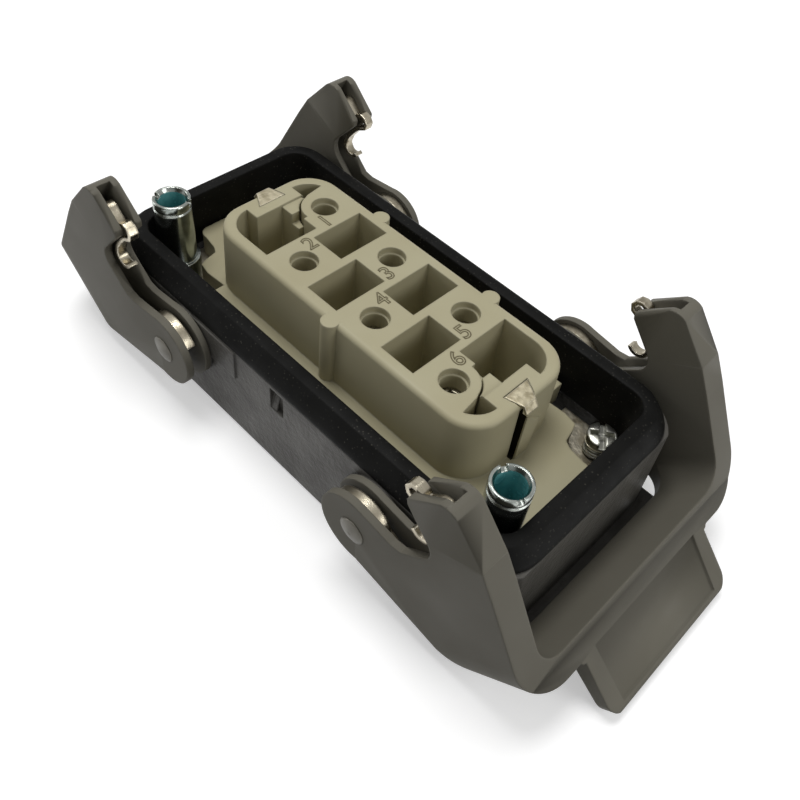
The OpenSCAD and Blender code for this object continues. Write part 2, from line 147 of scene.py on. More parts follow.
# %% Empty node groups
def effect(name, inputs, outputs):
    """Makes an empty node group with named sockets: (name, kind, default) in, (name, kind) out."""
    tree = bpy.data.node_groups.new(name, "ShaderNodeTree")
    build = NodeTree(tree)
    for label, kind, value in inputs:
        socket = tree.interface.new_socket(label, in_out="INPUT", socket_type="NodeSocket" + kind)
        socket.default_value = value
    for label, kind in outputs:
        tree.interface.new_socket(label, in_out="OUTPUT", socket_type="NodeSocket" + kind)
    source = build.add("NodeGroupInput")
    sink = build.add("NodeGroupOutput")
    where = build.add("ShaderNodeTexCoord").outputs["Object"]
    return tree, build, source.outputs, sink.inputs, where


# %% [markdown]
# ### Edge wear
# Handling polishes the edges of castings and mouldings first, so they look a little paler. A
# painted mask would do, but it has to be redone for each shape. A Bevel node finds edges by
# itself: it gives a rounded normal, and where that differs from the true one the surface is
# near an edge.

# %% Edge wear group
BEND_LOW, BEND_HIGH = 0.01, 0.22
EDGE_SAMPLES = 6

EDGE, g, g_in, g_out, where = effect(
    "edge mask",
    [("Radius", "Float", 0.0004), ("Amount", "Float", 1.0)],
    [("Mask", "Float"), ("Normal", "Vector")])
bevel = g.add("ShaderNodeBevel", {"samples": EDGE_SAMPLES}, Radius=g_in["Radius"])
soft_normal = bevel.outputs[0]
true_normal = g.add("ShaderNodeNewGeometry").outputs["Normal"]
facing = g.add("ShaderNodeVectorMath", {"operation": "DOT_PRODUCT"})
g.put(facing.inputs[0], soft_normal)
g.put(facing.inputs[1], true_normal)
bend = g.math("SUBTRACT", 1.0, facing.outputs["Value"])
near_edge = g.spread(bend, BEND_LOW, BEND_HIGH)
g.put(g_out["Mask"], g.math("MULTIPLY", near_edge, g_in["Amount"], clamp=True))
g.put(g_out["Normal"], soft_normal)
print("edge mask:", len(EDGE.nodes), "nodes")

# %% [markdown]
# ### Grain
# No moulded, coated or plated face is quite even. Two noises give that: a fine one for the
# bump, and a slow one that wanders between two tones of the same colour. Both sizes are lengths
# in metres, since one over a length is a noise scale.

# %% Grain group
PATCH_LOW, PATCH_HIGH = 0.35, 0.65

GRAIN, g, g_in, g_out, where = effect(
    "surface grain",
    [("Grain Size", "Float", 0.0006), ("Patch Size", "Float", 0.012)],
    [("Height", "Float"), ("Patches", "Float")])
fine = g.noise(where, g.math("DIVIDE", 1.0, g_in["Grain Size"]), detail=4.0, rough=0.6)
slow = g.noise(where, g.math("DIVIDE", 1.0, g_in["Patch Size"]), detail=3.0, rough=0.5)
g.put(g_out["Height"], fine)
g.put(g_out["Patches"], g.spread(slow, PATCH_LOW, PATCH_HIGH))
print("surface grain:", len(GRAIN.nodes), "nodes")

# %% [markdown]
# ### Dust
# Rubber holds dust, in specks that lie thick in one place and thin in the next. Each Voronoi
# cell has one centre, which makes the speck. A slow noise decides where specks show at all.

# %% Dust group
SPECK_CORE, SPECK_RIM = 0.10, 0.22
FIELD_SCALE = 260.0
FIELD_BARE, FIELD_FULL = 0.75, 0.8

DUST, g, g_in, g_out, where = effect(
    "dust specks", [("Size", "Float", 0.0008), ("Cover", "Float", 0.3)], [("Mask", "Float")])
cells = g.add("ShaderNodeTexVoronoi", {"feature": "F1"},
              Scale=g.math("DIVIDE", 1.0, g_in["Size"]))
g.put(cells.inputs["Vector"], where)
speck = g.spread(cells.outputs["Distance"], SPECK_CORE, SPECK_RIM, 1.0, 0.0)
field = g.noise(where, FIELD_SCALE, detail=4.0, rough=0.7)
gate = g.spread(field, g.math("SUBTRACT", FIELD_BARE, g_in["Cover"]), FIELD_FULL)
g.put(g_out["Mask"], g.math("MULTIPLY", speck, gate, clamp=True))
print("effects:", ", ".join(t.name for t in (EDGE, GRAIN, DUST)))


# %% [markdown]
# ## Finishes
# Colours are written as the eye sees them, in 0-255 steps, and the sRGB curve turns them into
# the linear values that the shader wants.

# %% Colour helper
def colour(r, g, b):
    def linear(v):
        v /= 255
        return v / 12.92 if v <= 0.04045 else ((v + 0.055) / 1.055) ** 2.4
    return (linear(r), linear(g), linear(b), 1.0)


print("mid grey in linear light:", round(colour(128, 128, 128)[0], 3))


# %% [markdown]
# Paint, plastic, rubber and metal differ in their numbers more than in their build: patchy
# colour, paler edges, fine bump, sometimes dust. So one function builds them all, and each
# finish is one call. The Principled shader stays in the material itself, and the groups only
# feed it.

# %% One recipe for every surface
ROUGH_RANGE = 0.05


def finish(name, base, patch, worn, rough, metal=0.0, grain=0.0006, patch_size=0.012, bump=0.1,
           depth=0.00008, edge=0.0004, wear=0.5, dust=0.0, dust_colour=None, shine=0.5):
    """One surface: patchy colour, paler edges, fine bump and, where wanted, dust."""
    material = bpy.data.materials.new(name)
    material.use_nodes = True
    n = NodeTree(material.node_tree)
    edges = n.add("ShaderNodeGroup", {"node_tree": EDGE}, Radius=edge, Amount=wear)
    grains = n.add("ShaderNodeGroup", {"node_tree": GRAIN}, Grain_Size=grain,
                   Patch_Size=patch_size)
    patches = grains.outputs["Patches"]
    tone = n.mix(patches, base, patch)
    tone = n.mix(edges.outputs["Mask"], tone, worn)
    roughness = n.spread(patches, 0.0, 1.0, rough - ROUGH_RANGE, rough + ROUGH_RANGE)
    if dust:
        specks = n.add("ShaderNodeGroup", {"node_tree": DUST}, Cover=dust)
        tone = n.mix(specks.outputs["Mask"], tone, dust_colour)
    bumps = n.add("ShaderNodeBump", None, Strength=bump, Distance=depth,
                  Height=grains.outputs["Height"], Normal=edges.outputs["Normal"])
    shader = n.add("ShaderNodeBsdfPrincipled", None, Base_Color=tone, Roughness=roughness,
                   Metallic=metal, Normal=bumps.outputs[0])
    shader.inputs["Specular IOR Level"].default_value = shine
    sheet = n.add("ShaderNodeOutputMaterial")
    n.put(sheet.inputs["Surface"], shader.outputs[0])
    return material


# %% [markdown]
# ### Coated castings and rubber
# Levers and housing are painted grey. The levers are smooth, the housing has a crinkled coat
# whose bump is deep enough to sparkle. The seal is nearly black, with hardly any shine and dust
# all over.

# %% Lever, housing and seal
LEVER = finish("lever coat", colour(108, 105, 95), colour(102, 99, 89), colour(136, 132, 120),
               rough=0.50, grain=0.0005, bump=0.10, edge=0.0005, patch_size=0.02, shine=0.12)
HOUSING = finish("crinkle coat", colour(92, 90, 85), colour(80, 78, 74), colour(112, 110, 104),
                 rough=0.38, grain=0.0011, bump=0.85, depth=0.00024, wear=0.3, patch_size=0.006,
                 shine=0.18)
SEAL = finish("seal rubber", colour(20, 20, 19), colour(14, 14, 13), colour(34, 34, 32),
              rough=0.52, bump=0.2, wear=0.3, patch_size=0.004, dust=0.42,
              dust_colour=colour(74, 72, 66), shine=0.08)
print("coats:", LEVER.name, "-", HOUSING.name, "-", SEAL.name)

# %% [markdown]
# ### Insert plastic
# The insert is a beige thermoset, almost matt. Its numbers are lines in relief, drawn in a
# darker beige that is painted shade along the relief. The gap beside each earth clip leads down
# into the dark, and its walls get a near-black brown that is painted shade.

# %% Plastic, number lines and painted shade in the gap
BEIGE = finish("insert plastic", colour(174, 168, 139), colour(169, 162, 132),
               colour(186, 181, 152), rough=0.50, grain=0.0009, bump=0.05, edge=0.0005,
               patch_size=0.015, shine=0.3)
# Painted shade: the numbers' darker beige stands for the shade along their relief.
RELIEF_SHADE = finish("number outline painted shade", colour(128, 120, 94), colour(118, 110, 86), colour(128, 120, 94),
             rough=0.60, bump=0.0, wear=0.0, shine=0.2)
# Painted shade: the gap's walls are coloured near-black for the shade deep in the gap.
GAP_SHADE = finish("painted gap shade", colour(34, 31, 22), colour(26, 24, 16), colour(40, 37, 27), rough=0.70,
             bump=0.0, wear=0.0, shine=0.1)
print("plastics:", BEIGE.name, "-", RELIEF_SHADE.name, "-", GAP_SHADE.name)

# %% [markdown]
# ### Metals
# A metal shows its surroundings, tinted by its base colour. Low roughness gives the bright zinc
# of the bushes, more gives stamped steel, and a short patch size with a strong bump gives
# brushed or blotchy strips. The bushes' bores keep the blue-green tint of their plating. Down
# in a bore there is little to mirror, so that finish is mostly a plain colour.

# %% Springs, clips, plates, bushes and screws
SILVER = finish("contact silver", colour(190, 184, 162), colour(150, 143, 122),
                colour(226, 222, 206), rough=0.28, metal=1.0, grain=0.0004, bump=0.06)
SPRING = finish("spring steel", colour(196, 188, 168), colour(150, 142, 124),
                colour(240, 234, 218), rough=0.30, metal=1.0, grain=0.0003, bump=0.25,
                patch_size=0.002)
PLATE = finish("earth plate steel", colour(196, 189, 170), colour(128, 120, 102),
               colour(236, 230, 214), rough=0.40, metal=1.0, grain=0.0014, bump=0.55,
               depth=0.0002, patch_size=0.0022)
CLIP = finish("brushed clip steel", colour(204, 195, 168), colour(150, 141, 116),
              colour(240, 234, 214), rough=0.42, metal=0.85, grain=0.0007, bump=0.6,
              depth=0.00012, patch_size=0.0012)
ZINC = finish("zinc plate", colour(176, 182, 176), colour(128, 134, 130), colour(238, 238, 230),
              rough=0.18, metal=1.0, grain=0.0005, bump=0.05, patch_size=0.004)
BORE = finish("blue passivated bore", colour(124, 192, 192), colour(92, 164, 168),
              colour(176, 212, 210), rough=0.26, metal=0.25, bump=0.10, patch_size=0.002)
STEEL = finish("zinc screw", colour(206, 206, 196), colour(156, 156, 148),
               colour(244, 244, 236), rough=0.30, metal=1.0, grain=0.0004, bump=0.12,
               patch_size=0.002)
PIN = finish("pin steel", colour(108, 105, 96), colour(92, 89, 80), colour(150, 146, 134),
             rough=0.38, metal=0.5, grain=0.0004, bump=0.2, patch_size=0.003)
print("metals:", ", ".join(m.name for m in (SILVER, SPRING, PLATE, CLIP, ZINC, BORE, STEEL, PIN)))

# %% [markdown]
# ### Who wears what
# Every solid gets its finish by name. Solids are faceted, so their faces are shaded smooth,
# apart from edges sharper than 30 degrees.

# %% Finishes on the solids
NODE_FINISH = {
    "housing": HOUSING, "rim_seal": SEAL, "insert_front": BEIGE, "insert_rear": BEIGE,
    "terminal_screws": STEEL, "earth_screws": STEEL, "earth_washers": STEEL,
    "fixing_screws": STEEL, "pivot_pins": PIN,
}
PREFIX_FINISH = {"contact_": SILVER, "earth_plate": PLATE, "earth_clip": CLIP,
                 "guide_bush": ZINC, "lever": LEVER, "spring": SPRING}
SHARP_ANGLE = math.radians(30)


def finish_of(name):
    by_prefix = (m for prefix, m in PREFIX_FINISH.items() if name.startswith(prefix))
    return NODE_FINISH.get(name) or next(by_prefix)


def set_material(piece, material):
    piece.data.materials.clear()
    piece.data.materials.append(material)


def smooth(mesh):
    for face in mesh.polygons:
        face.use_smooth = True
    mesh.set_sharp_from_angle(angle=SHARP_ANGLE)


for name, node in frame["nodes"].items():
    set_material(node, finish_of(name))
    smooth(node.data)
print("finishes on", len(frame["nodes"]), "nodes")

# %% [markdown]
# ## Shaped pieces
# Some solids are plainer than the real pieces. The next cells make finer ones that take their
# place: insert front, rim seal, bushes, fixing screws, earth clips, latch springs and levers.
# Sizes are in millimetres, in the connector's own frame: X along it, Y across, Z up from the
# mounting face.
#
# Almost every piece is a skin over rings of points, because rings with equal counts join up by
# rule.

# %% Skins over rings
def mesh_piece(name, points, faces):
    """A mesh object from points in mm, with its faces turned outwards."""
    mesh = bpy.data.meshes.new(name)
    mesh.from_pydata([Vector(p) * MM for p in points], [], faces)
    shape = bmesh.new()
    shape.from_mesh(mesh)
    bmesh.ops.recalc_face_normals(shape, faces=shape.faces)
    shape.to_mesh(mesh)
    shape.free()
    piece = bpy.data.objects.new(name, mesh)
    bpy.context.scene.collection.objects.link(piece)
    return piece


def joined(low, high, count):
    """Faces between two rings whose points start at low and at high."""
    turns = [(i, (i + 1) % count) for i in range(count)]
    return [[low + i, low + j, high + j, high + i] for i, j in turns]


def layers(name, rings):
    """Skins a stack of rings with equal numbers of points, and closes both ends."""
    count = len(rings[0])
    points = [p for ring in rings for p in ring]
    faces = [list(range(count)), list(range(len(points) - count, len(points)))]
    for low in range(0, len(points) - count, count):
        faces += joined(low, low + count, count)
    return mesh_piece(name, points, faces)


def tube(name, rings):
    """Skins rings that stand round a section, each joined to the next and the last to the first."""
    count = len(rings[0])
    points = [p for ring in rings for p in ring]
    faces = []
    for low in range(0, len(points), count):
        faces += joined(low, (low + count) % len(points), count)
    return mesh_piece(name, points, faces)


# %% [markdown]
# An outline is a list of points, with its round stretches worked out as arcs. A prism stands an
# outline up, and a side prism pushes one across.

# %% Outlines
ROUND_STEPS = 48
CORNER_STEPS = 10


def circle(x, y, radius, steps=ROUND_STEPS):
    turns = [2 * math.pi * i / steps for i in range(steps)]
    return [(x + radius * math.cos(a), y + radius * math.sin(a)) for a in turns]


def arc(x, y, radius, start, end, steps):
    turns = [math.radians(start + (end - start) * i / steps) for i in range(steps + 1)]
    return [(x + radius * math.cos(a), y + radius * math.sin(a)) for a in turns]


def rounded(length, width, radius, steps=CORNER_STEPS):
    """A rectangle about the middle, with round corners."""
    points = []
    for sx, sy, start in ((1, 1, 0), (-1, 1, 90), (-1, -1, 180), (1, -1, 270)):
        x, y = sx * (length / 2 - radius), sy * (width / 2 - radius)
        points += arc(x, y, radius, start, start + 90, steps)
    return points


print("points in a rounded outline:", len(rounded(4, 2, 0.5)))


# %% Solids from outlines
def prism(outline, low, high):
    return layers("cutter", [[(x, y, z) for x, y in outline] for z in (low, high)])


def side_prism(outline, left, right, name="cutter"):
    return layers(name, [[(x, y, z) for x, z in outline] for y in (left, right)])


def turned(name, x, y, profile):
    """A solid of revolution about an upright axis, from (radius, height) pairs."""
    rings = [(circle(x, y, radius), z) for radius, z in profile]
    return layers(name, [[(px, py, z) for px, py in ring] for ring, z in rings])


def box(x, y, length, width, low, high, angle=0.0):
    c, s = math.cos(math.radians(angle)), math.sin(math.radians(angle))
    half_l, half_w = length / 2, width / 2
    corners = [(-half_l, -half_w), (half_l, -half_w), (half_l, half_w), (-half_l, half_w)]
    return prism([(x + c * u - s * v, y + s * u + c * v) for u, v in corners], low, high)


# %% [markdown]
# The connector's two ends are the same piece turned half round, and the two levers mirror each
# other. Holes are cut with Boolean modifiers, set to the exact solver: it is slower than the
# fast one, but it copes with faces that touch. `stand_in` hands a finished piece over: it gets
# its material, rides the body it belongs to, and takes the place of the plainer solid.

# %% Turning, cutting and handing over
def other_end(piece):
    piece.data.transform(Matrix.Rotation(math.pi, 4, "Z"))
    return piece


def same(piece):
    return piece


def mirrored(piece):
    piece.data.transform(Matrix.Scale(-1, 4, (1, 0, 0)))
    piece.data.flip_normals()
    return piece


def carve(piece, others, operation="DIFFERENCE"):
    """Cuts, joins or trims a piece with others, which are used up."""
    for other in others:
        step = piece.modifiers.new("carve", "BOOLEAN")
        step.solver = "EXACT"
        step.operation = operation
        step.object = other
    bpy.context.view_layer.update()
    graph = bpy.context.evaluated_depsgraph_get()
    solid = bpy.data.meshes.new_from_object(piece.evaluated_get(graph))
    piece.modifiers.clear()
    piece.data = solid
    for other in others:
        bpy.data.objects.remove(other)
    return piece


def stand_in(piece, material, body, node):
    """Gives a shaped piece its finish and lets it take the place of a solid."""
    set_material(piece, material)
    smooth(piece.data)
    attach(piece, body)
    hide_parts(node)
    return piece


# %% [markdown]
# ### Insert front
# The contact block is a moulding: it leans in a little from its foot, so that it leaves the
# mould, and its top edge is rounded. A bevel modifier would round every edge. Rings that step
# in along a quarter circle round this one alone.

# %% Contact block
FLANGE_LOW = 11.2
FLANGE_TOP = 15.7
BLOCK_TOP = 28.5
BLOCK_L, BLOCK_W, BLOCK_R = 62.4, 24.4, 6.5
BLOCK_LEAN = 0.4
BLOCK_EDGE = 0.9
EDGE_STEP = 15


def block_ring(inset, z):
    outline = rounded(BLOCK_L - 2 * inset, BLOCK_W - 2 * inset, BLOCK_R - inset)
    return [(x, y, z) for x, y in outline]


rings = [block_ring(0, FLANGE_LOW)]
for angle in range(0, 91, EDGE_STEP):
    a = math.radians(angle)
    inset = BLOCK_LEAN + BLOCK_EDGE * (1 - math.cos(a))
    rings.append(block_ring(inset, BLOCK_TOP - BLOCK_EDGE * (1 - math.sin(a))))
insert = layers("insert_front_shaped", rings)
print("contact block:", len(rings), "rings")

# %% [markdown]
# Round the block's foot goes the flange that the screws hold down. It is cut away at two
# corners, to bare the earth plates. One outline does both corners, turned half round for the
# second.

# %% Flange
FLANGE_L, FLANGE_W, FLANGE_R = 84.5, 34, 3
CUT_LOW, CUT_HIGH = 10, 17
CUT_AWAY = [(27.5, 18), (27.5, 12), (31.9, 12.3), (34.4, 11.8), (34.9, 10.5), (35.5, 7.9)]
CUT_AWAY += [(36.8, 7.2), (39.9, 6.7)] + arc(40.45, 4.9, 1.8, 90, 0, 4)
CUT_AWAY += [(43.25, 4.9), (43.25, 18)]

flange = prism(rounded(FLANGE_L, FLANGE_W, FLANGE_R), FLANGE_LOW, FLANGE_TOP)
corners = [prism(CUT_AWAY, CUT_LOW, CUT_HIGH), other_end(prism(CUT_AWAY, CUT_LOW, CUT_HIGH))]
carve(flange, corners)
print("flange:", len(flange.data.polygons), "faces")

# %% [markdown]
# Half-round ribs on the long sides key the insert to its mate. At each end a rib with a sloped
# top stands beside the earth clip. All of them are joined to the block before anything is cut.

# %% Ribs
RIB_R = 1.55
RIB_Y = 11.8
RIB_STEPS = 32
RIB_AT = ((0.15, -RIB_Y), (-12.9, RIB_Y), (12.9, RIB_Y))
END_RIB = [(30.6, -1.4), (32.17, -1.4), (32.17, 1.85), (31.0, 4.95), (30.6, 4.95)]
END_RIB_TOP = 26.3
END_RIB_SLOPE = 0.95


def end_rib():
    edge = END_RIB[0][1]
    foot = [(x, y, FLANGE_LOW) for x, y in END_RIB]
    sloped = [(x, y, END_RIB_TOP - END_RIB_SLOPE * (y - edge)) for x, y in END_RIB]
    return layers("end_rib", [foot, sloped])


ribs = [prism(circle(x, y, RIB_R, RIB_STEPS), FLANGE_LOW, BLOCK_TOP) for x, y in RIB_AT]
carve(insert, [flange] + ribs + [end_rib(), other_end(end_rib())], "UNION")
print("insert body:", len(insert.data.polygons), "faces")

# %% [markdown]
# Six contacts sit in two staggered rows, each behind an entry hole with a wider mouth. Between
# them are plain square pockets. The cutters are gathered in one list and used together at the
# end. Each reaches a little past what it cuts, so that no thin skin stays behind.

# %% Entry holes and middle pockets
PITCH = 16.9
ROW_Y = 5.98
CONTACTS = [(-1.25, 1), (-0.75, -1), (-0.25, 1), (0.25, -1), (0.75, 1), (1.25, -1)]
MOUTH_R, MOUTH_DEEP = 2.43, 1.2
HOLE_R = 2.1
POCKET_LOW = 14.5
POCKET_L, POCKET_W, POCKET_Y = 6.87, 10.55, 4.33
POCKETS = (-0.75, 0.25)
SPARE = 1
OVER = BLOCK_TOP + SPARE
UNDER = FLANGE_LOW - SPARE

cutters = []
for along, side in CONTACTS:
    x, y = along * PITCH, side * ROW_Y
    cutters.append(prism(circle(x, y, MOUTH_R), BLOCK_TOP - MOUTH_DEEP, OVER))
    cutters.append(prism(circle(x, y, HOLE_R), UNDER, OVER))
for along in POCKETS:
    for turn in (1, -1):
        x, y = turn * along * PITCH, turn * POCKET_Y
        cutters.append(box(x, y, POCKET_L, POCKET_W, POCKET_LOW, OVER))
print("holes and middle pockets:", len(cutters))

# %% [markdown]
# The end pockets follow the block's rounded corner and leave a round boss about the last
# contact. Each starts as a rough outline. It is trimmed by the block's inner wall, and the boss
# is taken out of it, so walls of even thickness come by themselves.

# %% End pockets
SKIN = 4.8
BOSS = (1.25 * PITCH, -ROW_Y)
BOSS_R = 4.15
BOSS_STEPS = 64
SLIT_WIDE = 0.35
WEB_GAP = 0.1
WEB_DROP, WEB_TIP_DROP = 0.4, 2.4
MAIN_POCKET = [(17.65, 12), (17.65, -0.98), (20.9, -0.98), (21.1, -2.1), (21.5, -2.1),
               (21.5, -0.4), (26.05, -0.4), (26.05, 12)]
SIDE_POCKET = [(25.95, 5.1), (31, 5.1), (31, 12), (25.95, 12)]
CRESCENT = [(25.2, -4.95), (30, -4.95), (30, -12), (26.4, -12), (26.0, -9.4), (25.5, -5.8)]
SLIT = arc(BOSS[0], BOSS[1], BOSS_R + SLIT_WIDE, 10, 92, 12) + [BOSS]
WEB = [(21.3, -0.3), (26.1, -0.3), (26.1, -4.8), (25.3, -5.1), (21.3, -1.5)]
WEB_TIP = [(21.3, -0.3), (23.4, -0.3), (23.4, -3.4), (21.3, -1.5)]


def end_cutter(outline, low, boss_r=BOSS_R):
    cutter = prism(outline, low, OVER)
    inner = rounded(BLOCK_L - SKIN, BLOCK_W - SKIN, SKIN)
    boss = circle(BOSS[0], BOSS[1], boss_r, BOSS_STEPS)
    inner, boss = (prism(shape, low - SPARE, OVER + SPARE) for shape in (inner, boss))
    carve(cutter, [inner], "INTERSECT")
    return carve(cutter, [boss])


print("boss about the last contact, mm:", BOSS)


# %% [markdown]
# The earth clip needs room too: a seat in the top for its plate, a slot for its leg, a channel
# under the flange for its foot, and the gap that shows as a dark line beside the end rib.

# %% Clip seats and end cutters
CLIP_SEAT = [(28.0, 2.95), (28.0, -2.8), (31.4, -1.85), (31.4, 1.15)]
SEAT_DEEP = 0.52
GAP_X, GAP_L = 30.3, 3.2
GAP_Y, GAP_W = -1.3, 1.1
GAP_TOP = BLOCK_TOP - 1.3
LEG_X, LEG_L = 28.4, 0.7
FOOT_X, FOOT_L, FOOT_DEEP = 32.35, 8.6, 0.7
CLIP_Y, CLIP_SLOT_W = -0.35, 2.9

for turn in (same, other_end):
    for outline in (MAIN_POCKET, SIDE_POCKET, CRESCENT, SLIT):
        cutters.append(turn(end_cutter(outline, POCKET_LOW)))
    cutters.append(turn(end_cutter(WEB, BLOCK_TOP - WEB_DROP, BOSS_R + WEB_GAP)))
    cutters.append(turn(end_cutter(WEB_TIP, BLOCK_TOP - WEB_TIP_DROP, BOSS_R + WEB_GAP)))
    cutters.append(turn(prism(CLIP_SEAT, BLOCK_TOP - SEAT_DEEP, OVER)))
    cutters.append(turn(box(GAP_X, GAP_Y, GAP_L, GAP_W, FLANGE_TOP, GAP_TOP)))
    cutters.append(turn(box(LEG_X, CLIP_Y, LEG_L, CLIP_SLOT_W, UNDER, OVER)))
    cutters.append(turn(box(FOOT_X, CLIP_Y, FOOT_L, CLIP_SLOT_W, UNDER, FLANGE_LOW + FOOT_DEEP)))
print("with the ends:", len(cutters), "cutters")

# %% [markdown]
# Last come the holes for bushes and fixing screws, at the corners of the fixing pattern. Then
# everything is cut at once, the gap's walls get their painted shade, and the piece takes the
# solid's place.

# %% Cut the insert
FIX_X, FIX_Y = 38.75, 13.5
BUSH_HOLE_R, SCREW_HOLE_R = 4.0, 3.3
WALL_NEAR = 0.05

for x in (FIX_X, -FIX_X):
    cutters.append(prism(circle(x, -FIX_Y, BUSH_HOLE_R), UNDER, FLANGE_TOP + SPARE))
    cutters.append(prism(circle(x, FIX_Y, SCREW_HOLE_R), UNDER, FLANGE_TOP + SPARE))
print("cutting", len(cutters), "pockets and holes")
carve(insert, cutters)
stand_in(insert, BEIGE, "base", "insert_front")


def in_gap(point):
    """True on the walls of the gap at either end, where X and Y have opposite signs."""
    x, y, z = (abs(v) / MM for v in point)
    return (point.x * point.y < 0
            and abs(x - GAP_X) < GAP_L / 2 + WALL_NEAR
            and abs(y + GAP_Y) < GAP_W / 2 + WALL_NEAR
            and FLANGE_TOP - WALL_NEAR < z < GAP_TOP + WALL_NEAR)


# Painted shade: the faces on the gap's walls get the near-black colour.
insert.data.materials.append(GAP_SHADE)
for face in insert.data.polygons:
    if in_gap(face.center):
        face.material_index = 1
print("insert front:", len(insert.data.polygons), "faces")

# %% [markdown]
# ### Rim seal
# The seal is one rubber ring, the same section all round: a skirt inside the wall, a lip over
# it, and a bead with a flat crown and a long slope outwards. Each point of the section is run
# round the rim as a ring of its own, and the rings are joined up into a closed tube.

# %% Seal
WALL_TOP = 19.7
SEAL_L, SEAL_W, SEAL_R = 85.2, 36.2, 3.6
SEAL_SECTION = [(0, -7.2), (1.2, -7.2), (1.2, 0.05), (4.4, 0.05), (4.4, 0.6), (4.1, 1.3),
                (2.75, 3.35), (2.3, 3.75), (1.9, 3.8), (0.4, 3.8), (0.1, 3.7), (0, 3.4)]


def seal_ring(out, up):
    outline = rounded(SEAL_L + 2 * out, SEAL_W + 2 * out, SEAL_R + out)
    return [(x, y, WALL_TOP + up) for x, y in outline]


seal = tube("rim_seal_shaped", [seal_ring(out, up) for out, up in SEAL_SECTION])
stand_in(seal, SEAL, "base", "rim_seal")
print("rim seal:", len(seal.data.polygons), "faces")

# %% [markdown]
# ### Guide bushes
# A bush is turned on a lathe, so it is made as a solid of revolution here too: the profile
# gives the groove under its mouth, and a second one cuts the bore with its chamfer. A driver
# slot goes across the mouth. Each bush stopped at another angle when it was tightened.

# %% Guide bushes
BUSH_TOP = 29.1
BUSH_BODY = [(1.95, 2.8), (1.95, 11.2), (3.9, 11.2), (3.9, 16.3), (3.3, 16.3), (3.3, 27.2),
             (3.1, 27.35), (3.1, 27.65), (3.3, 27.8), (3.3, 28.8), (3.22, 29.0), (3.05, 29.1)]
BORE_R, BORE_LOW, BORE_TOP = 2.35, 14.2, 28.4
BUSH_BORE = [(BORE_R, BORE_LOW), (BORE_R, BORE_TOP), (2.65, 28.8), (2.85, 29.2)]
SLOT_L, BUSH_SLOT_W, BUSH_SLOT_DEEP = 9, 1.0, 0.9
BUSHES = (("near", FIX_X, -26), ("far", -FIX_X, 35))
BORE_NEAR, BORE_LIFT = 0.02, 0.1

for end, x, slot_angle in BUSHES:
    bush = turned("guide_bush_" + end + "_shaped", x, -FIX_Y, BUSH_BODY)
    bore = turned("bore", x, -FIX_Y, BUSH_BORE)
    slot = box(x, -FIX_Y, SLOT_L, BUSH_SLOT_W, BUSH_TOP - BUSH_SLOT_DEEP, OVER + SPARE,
               slot_angle)
    carve(bush, [bore, slot])
    stand_in(bush, ZINC, "base", "guide_bush_" + end)
    bush.data.materials.append(BORE)
    for face in bush.data.polygons:
        out = math.hypot(face.center.x / MM - x, face.center.y / MM + FIX_Y)
        if out < BORE_R + BORE_NEAR and BORE_LOW + BORE_LIFT < face.center.z / MM < BORE_TOP:
            face.material_index = 1
    print(bush.name, "faces:", len(bush.data.polygons))

# %% [markdown]
# ### Fixing screws
# Two captive screws stand a little proud. Their heads take a flat driver or a cross one, so a
# long slot and a short one are cut. Both screws are one solid, so the two are joined before
# they take its place.

# %% Screw heads
SCREW_BODY = [(1.95, 6.7), (1.95, 14.2), (2.6, 14.2), (2.6, 15.4), (2.5, 15.7), (2.2, 15.88),
              (1.4, 15.97), (0.3, 16.0)]
SCREW_SLOT_W, SCREW_SLOT_TOP = 1.1, 17
LONG_SLOT = (SLOT_L, 14.9, -54)
SHORT_SLOT = (4, 14.7, 36)

screws = []
for x in (FIX_X, -FIX_X):
    screws.append(turned("fixing_screw_shaped", x, FIX_Y, SCREW_BODY))
for screw, x in zip(screws, (FIX_X, -FIX_X)):
    carve(screw, [box(x, FIX_Y, length, SCREW_SLOT_W, low, SCREW_SLOT_TOP, angle)
                  for length, low, angle in (LONG_SLOT, SHORT_SLOT)])
carve(screws[0], [screws[1]], "UNION")
stand_in(screws[0], STEEL, "base", "fixing_screws")
print("fixing screws:", len(screws[0].data.polygons), "faces")

# %% [markdown]
# ### Earth clips
# A clip is a bent strip. Seen from the side it is one closed outline: foot, leg, top and the
# lip that covers the block's edge. Pushed across its width, the outline is the strip, and a
# tapered plate is joined to its top.

# %% Earth clips
CLIP_STRIP = [(28.15, 11.25), (28.15, 28.5), (31.1, 28.5), (31.45, 28.35), (32.2, 27.2),
              (31.8, 26.9), (31.1, 28.0), (28.65, 28.0), (28.65, 11.75), (36.55, 11.75),
              (36.55, 11.25)]
CLIP_PLATE = [(28.15, 2.8), (28.15, -2.65), (31.25, -1.7), (31.25, 1.0)]
CLIP_LEFT, CLIP_RIGHT = -1.7, 1.0
PLATE_LOW, PLATE_TOP = 28.0, 28.5

for end, turn in (("near", same), ("far", other_end)):
    clip = side_prism(CLIP_STRIP, CLIP_LEFT, CLIP_RIGHT, "earth_clip_" + end + "_shaped")
    carve(clip, [prism(CLIP_PLATE, PLATE_LOW, PLATE_TOP)], "UNION")
    stand_in(turn(clip), CLIP, "base", "earth_clip_" + end)
    print(clip.name, "faces:", len(clip.data.polygons))

# %% [markdown]
# ### Latch springs
# A latch spring is one strip of steel. It runs round the lever's disc, along the arm and over
# its nose into a cup at the notch. Its middle line is a path, and a strip of even thickness is
# laid along it: each point is moved to both sides, square to the path.

